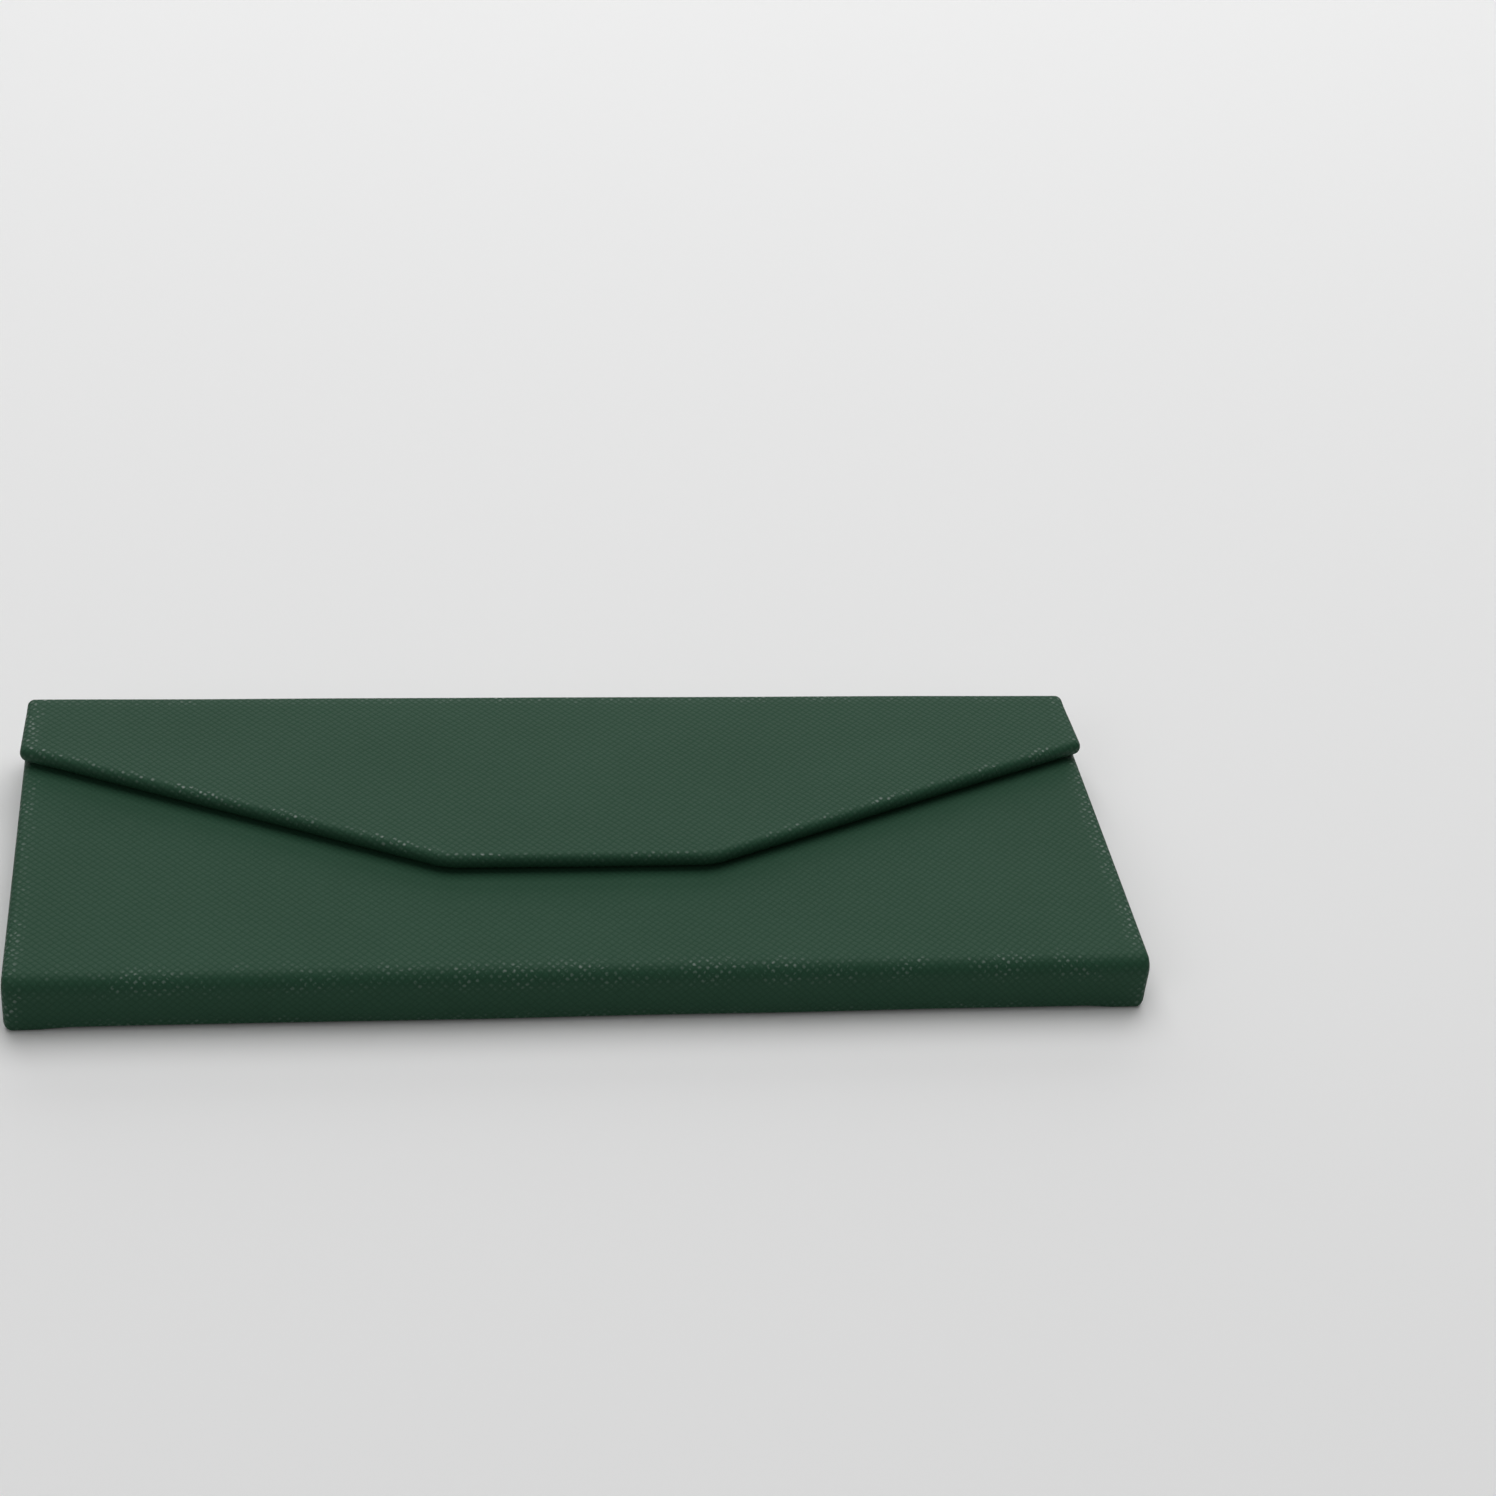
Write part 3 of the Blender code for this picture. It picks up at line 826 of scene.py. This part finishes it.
def make_inner_leather(leather):
    """Leather round the panel folded inside."""
    depth = INNER_HIGH.z - INNER_LOW.z
    start = (INNER_LOW.y, INNER_LOW.z)
    end = (INNER_HIGH.y, INNER_LOW.z)
    path = flat_path(start, end, (0.0, depth))
    edge = rectangle_edge(path, INNER_HIGH.x, INNER_CORNER, closed_start=True)
    section = turned_section(depth, HEM, INNER_EDGE_RADIUS)
    piece = make_sheet("inner_leather", path, edge, section, depth, INNER_SKIN, closed_end=True,
                       closed_start=True, wavy=False, pinched=False)
    dress(piece, leather)
    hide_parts("inner_cover")
    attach(piece, "case_body")


def lining_section(depth):
    """The pressed edge of a lining."""
    return turned_section(depth * LINING_DEPTH_SHARE, 0.0, depth * LINING_ROUND_SHARE)


def make_lining(node, suede, start, end, inward, half):
    """A microfibre lining with pressed edges, in the place of a CAD lining."""
    depth = math.hypot(*inward)
    path = flat_path(start, end, inward)
    radius = min(LINING_CORNER, path.length * LINING_CORNER_SHARE)
    edge = rectangle_edge(path, half, radius, closed_start=True)
    piece = make_sheet(node + "_cloth", path, edge, lining_section(depth), depth,
                       depth * LINING_SKIN_SHARE, closed_end=True, closed_start=True,
                       wavy=False, pinched=False)
    dress(piece, suede)
    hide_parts(node)
    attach(piece, "case_body")


def make_linings(suede):
    """All the linings that are rectangles."""
    for node, up in (("lid_lining", 1), ("top_lining", -1), ("inner_lining", 1)):
        low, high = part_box(node)
        face = high.z if up > 0 else low.z
        inward = (0.0, -up * (high.z - low.z))
        make_lining(node, suede, (low.y, face), (high.y, face), inward, high.x)
    for node, side in (("spine_lining", 1), ("vertex_hinge_strip", -1)):
        low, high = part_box(node)
        face = high.y if side > 0 else low.y
        inward = (-side * (high.y - low.y), 0.0)
        make_lining(node, suede, (face, low.z), (face, high.z), inward, high.x)


def lining_path(depth):
    """The inside of the ridge and flap: the face of the lining, and its back against the boards."""
    leather = flap_path()
    rows = leather.stations(0.0, leather.length)
    places = []
    for s in rows:
        outer, inner = leather.at(s)
        share = crease_depth(leather, s)
        places.append((*outer.lerp(inner, share), *outer.lerp(inner, share - depth / PANEL)))
    path = Path(*places[0])
    for place in places[1:]:
        path.line(*place)
    for crease in leather.creases:
        nearest = [min(range(len(rows)), key=lambda i: abs(rows[i] - mark)) for mark in crease]
        path.creases.append(tuple(path.lengths[i] for i in nearest))
    return path


def make_crease_linings(suede):
    """Linings of the ridge and the flap, which run on across the creases as one cloth."""
    low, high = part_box("flap_lining")
    depth = high.z - low.z
    path = lining_path(depth)
    split = ridge_split(path)
    inset = FLAP_HEM + LINING_GAP
    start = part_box("lid_lining")[1].y + GAP - SEAM_Y
    side = Vector((1.0, 0.0))
    section = lining_section(depth)
    skin = depth * LINING_SKIN_SHARE
    edge = [(Vector((X_END - inset, s)), side) for s in path.stations(start, split)]
    lower = make_sheet("ridge_lining_cloth", path, (edge, []), section, depth, skin,
                       wavy=False, pinched=False)
    dress(lower, suede)
    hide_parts("ridge_lining")
    bend_at_lower_crease(lower)
    rows, corners = flap_edge(path, split, inset)
    edge = [(Vector((p.x - side_trim(path, p.y), p.y)), normal) for p, normal in rows]
    upper = make_sheet("flap_lining_cloth", path, (edge, corners), section, depth, skin,
                       closed_end=True, wavy=False, pinched=False)
    dress(upper, suede)
    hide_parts("flap_lining")
    bend_at_upper_crease(upper)


def bend_at_lower_crease(piece):
    """Bakes the transform of a piece that lies between the body and the ridge into its mesh."""
    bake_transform(piece)


def bend_at_upper_crease(piece):
    """Bakes the transform of a piece that lies between the ridge and the flap into its mesh."""
    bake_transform(piece)


def gusset_row(at_edge, at_fold, outward, low_z, high_z):
    """A row across a gusset, over its upper leaf, round the fold and back: (place, length run)."""
    width = (at_fold - at_edge).length
    web = (high_z - low_z) / 2
    row = []
    for j in range(GUSSET_COLUMNS + 1):
        p = at_edge.lerp(at_fold, j / GUSSET_COLUMNS)
        row.append((Vector((p.x, p.y, high_z)), width * j / GUSSET_COLUMNS))
    for j in range(1, GUSSET_FOLD_STEPS):
        angle = math.pi * j / GUSSET_FOLD_STEPS
        p = at_fold + outward * web * math.sin(angle) * GUSSET_BULGE
        z = low_z + web + web * math.cos(angle)
        row.append((Vector((p.x, p.y, z)), width + web * angle))
    for j in range(GUSSET_COLUMNS, -1, -1):
        p = at_edge.lerp(at_fold, j / GUSSET_COLUMNS)
        row.append((Vector((p.x, p.y, low_z)), width * (2 - j / GUSSET_COLUMNS)))
    return row


def make_gusset(name, side, leather):
    """One folded piece of leather that closes an end: two leaves joined at the fold."""
    low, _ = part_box(name + "_lower_leaf")
    _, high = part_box(name + "_upper_leaf")
    x_edge = high.x if side > 0 else low.x
    reach = high.y - low.y
    apex = Vector((x_edge, high.y))
    near = Vector((x_edge, low.y))
    fold = Vector((-side * math.sin(GUSSET_ANGLE), -math.cos(GUSSET_ANGLE)))
    fold_end = apex + fold * reach * math.cos(GUSSET_ANGLE)
    along = (fold_end - apex).normalized()
    outward = Vector((-side * abs(along.y), abs(along.x)))
    bm = bmesh.new()
    sheet = bm.verts.layers.float_vector.new("sheet")
    rows = []
    for i in range(GUSSET_ROWS + 1):
        t = GUSSET_START + (1.0 - GUSSET_START) * i / GUSSET_ROWS
        verts = []
        row = gusset_row(apex.lerp(near, t), apex.lerp(fold_end, t), outward, low.z, high.z)
        for place, run in row:
            vert = bm.verts.new(place)
            vert[sheet] = Vector((run, t * reach, 0.0))
            verts.append(vert)
        rows.append(verts)
    for a, b in zip(rows, rows[1:]):
        for j in range(len(a) - 1):
            bm.faces.new((a[j], a[j + 1], b[j + 1], b[j]))
    probe = rows[GUSSET_ROWS // 2][GUSSET_COLUMNS // 3]
    piece = close_sheet(name + "_leather", bm, probe, Vector((0.0, 0.0, 1.0)), GUSSET_SKIN)
    dress(piece, leather)
    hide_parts(name + "_lower_leaf", name + "_upper_leaf", name + "_fold")
    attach(piece, "case_body")


def dress_cad(board, nickel):
    """Materials for the boards and magnets that are shown as they are."""
    for name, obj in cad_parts.items():
        if name.endswith("_board"):
            dress(obj, board)
        elif "_magnet_" in name:
            dress(obj, nickel)


# ---------------------------------------------------------------- stage, light and camera


def make_floor():
    """A pale floor under the case, which fades into the surround."""
    bm = bmesh.new()
    bmesh.ops.create_grid(bm, x_segments=1, y_segments=1, size=FLOOR_HALF)
    mesh = bpy.data.meshes.new("floor")
    bm.to_mesh(mesh)
    bm.free()
    floor = bpy.data.objects.new("floor", mesh)
    floor.location.z = -FLOOR_DROP
    bpy.context.scene.collection.objects.link(floor)
    n = Nodes("pale_floor")
    n.link(FLOOR_GREY, n.shader.inputs["Base Color"])
    n.shader.inputs["Roughness"].default_value = FLOOR_ROUGHNESS
    fade = n.tree.nodes.new("ShaderNodeMixShader")
    n.link(n.range(n.distance(n.coordinates()), *FLOOR_FADE, 0.0, 1.0), fade.inputs[0])
    n.link(n.shader.outputs[0], fade.inputs[1])
    n.link(n.tree.nodes.new("ShaderNodeBsdfTransparent").outputs[0], fade.inputs[2])
    n.link(fade.outputs[0], n.tree.nodes["Material Output"].inputs["Surface"])
    floor.data.materials.append(n.material)


def area_light(name, place, size, energy):
    """A soft square lamp that faces the case."""
    lamp = bpy.data.lights.new(name, "AREA")
    lamp.shape = "RECTANGLE"
    lamp.size, lamp.size_y = size
    lamp.energy = energy
    obj = bpy.data.objects.new(name, lamp)
    obj.location = place
    obj.rotation_euler = (-Vector(place)).to_track_quat("-Z", "Y").to_euler()
    bpy.context.scene.collection.objects.link(obj)


def make_light():
    """Soft light from above and behind, a weak one from the front left, and a pale surround."""
    area_light("overhead", *OVERHEAD)
    area_light("behind", *BEHIND)
    area_light("fill", *FILL)
    world = bpy.data.worlds.new("surround")
    world.use_nodes = True
    background = world.node_tree.nodes["Background"]
    background.inputs["Color"].default_value = WHITE
    seen = world.node_tree.nodes.new("ShaderNodeLightPath").outputs["Is Camera Ray"]
    strength = world.node_tree.nodes.new("ShaderNodeMapRange")
    strength.inputs["To Min"].default_value = SURROUND_LIGHT
    strength.inputs["To Max"].default_value = SURROUND_SEEN
    world.node_tree.links.new(seen, strength.inputs["Value"])
    world.node_tree.links.new(strength.outputs[0], background.inputs["Strength"])
    bpy.context.scene.world = world
    bpy.context.scene.view_settings.view_transform = "Standard"


def make_camera():
    """A camera at the angle the case is seen from."""
    pitch, yaw, roll = (math.radians(a) for a in (CAMERA_PITCH, CAMERA_YAW, CAMERA_ROLL))
    level_run = math.cos(pitch)
    forward = Vector((math.sin(yaw) * level_run, math.cos(yaw) * level_run, -math.sin(pitch)))
    level = forward.cross(Vector((0, 0, 1))).normalized()
    above = level.cross(forward)
    right = level * math.cos(roll) + above * math.sin(roll)
    up = above * math.cos(roll) - level * math.sin(roll)
    data = bpy.data.cameras.new("camera")
    data.lens = CAMERA_LENS
    data.sensor_width = CAMERA_SENSOR
    data.clip_start = CAMERA_CLIP
    camera = bpy.data.objects.new("camera", data)
    turn = Matrix((right, up, -forward)).transposed().to_4x4()
    camera.matrix_world = Matrix.Translation(CAMERA_PLACE) @ turn
    bpy.context.scene.collection.objects.link(camera)
    bpy.context.scene.camera = camera


def main():
    """Builds every piece, then the stage."""
    leather = leather_material()
    suede = suede_material()
    make_case_leather(leather)
    make_ridge_leather(leather)
    make_flap_leather(leather)
    make_inner_leather(leather)
    make_gusset("gusset_left", -1, leather)
    make_gusset("gusset_right", 1, leather)
    make_linings(suede)
    make_crease_linings(suede)
    dress_cad(board_material(), magnet_material())
    make_floor()
    make_light()
    make_camera()


main()
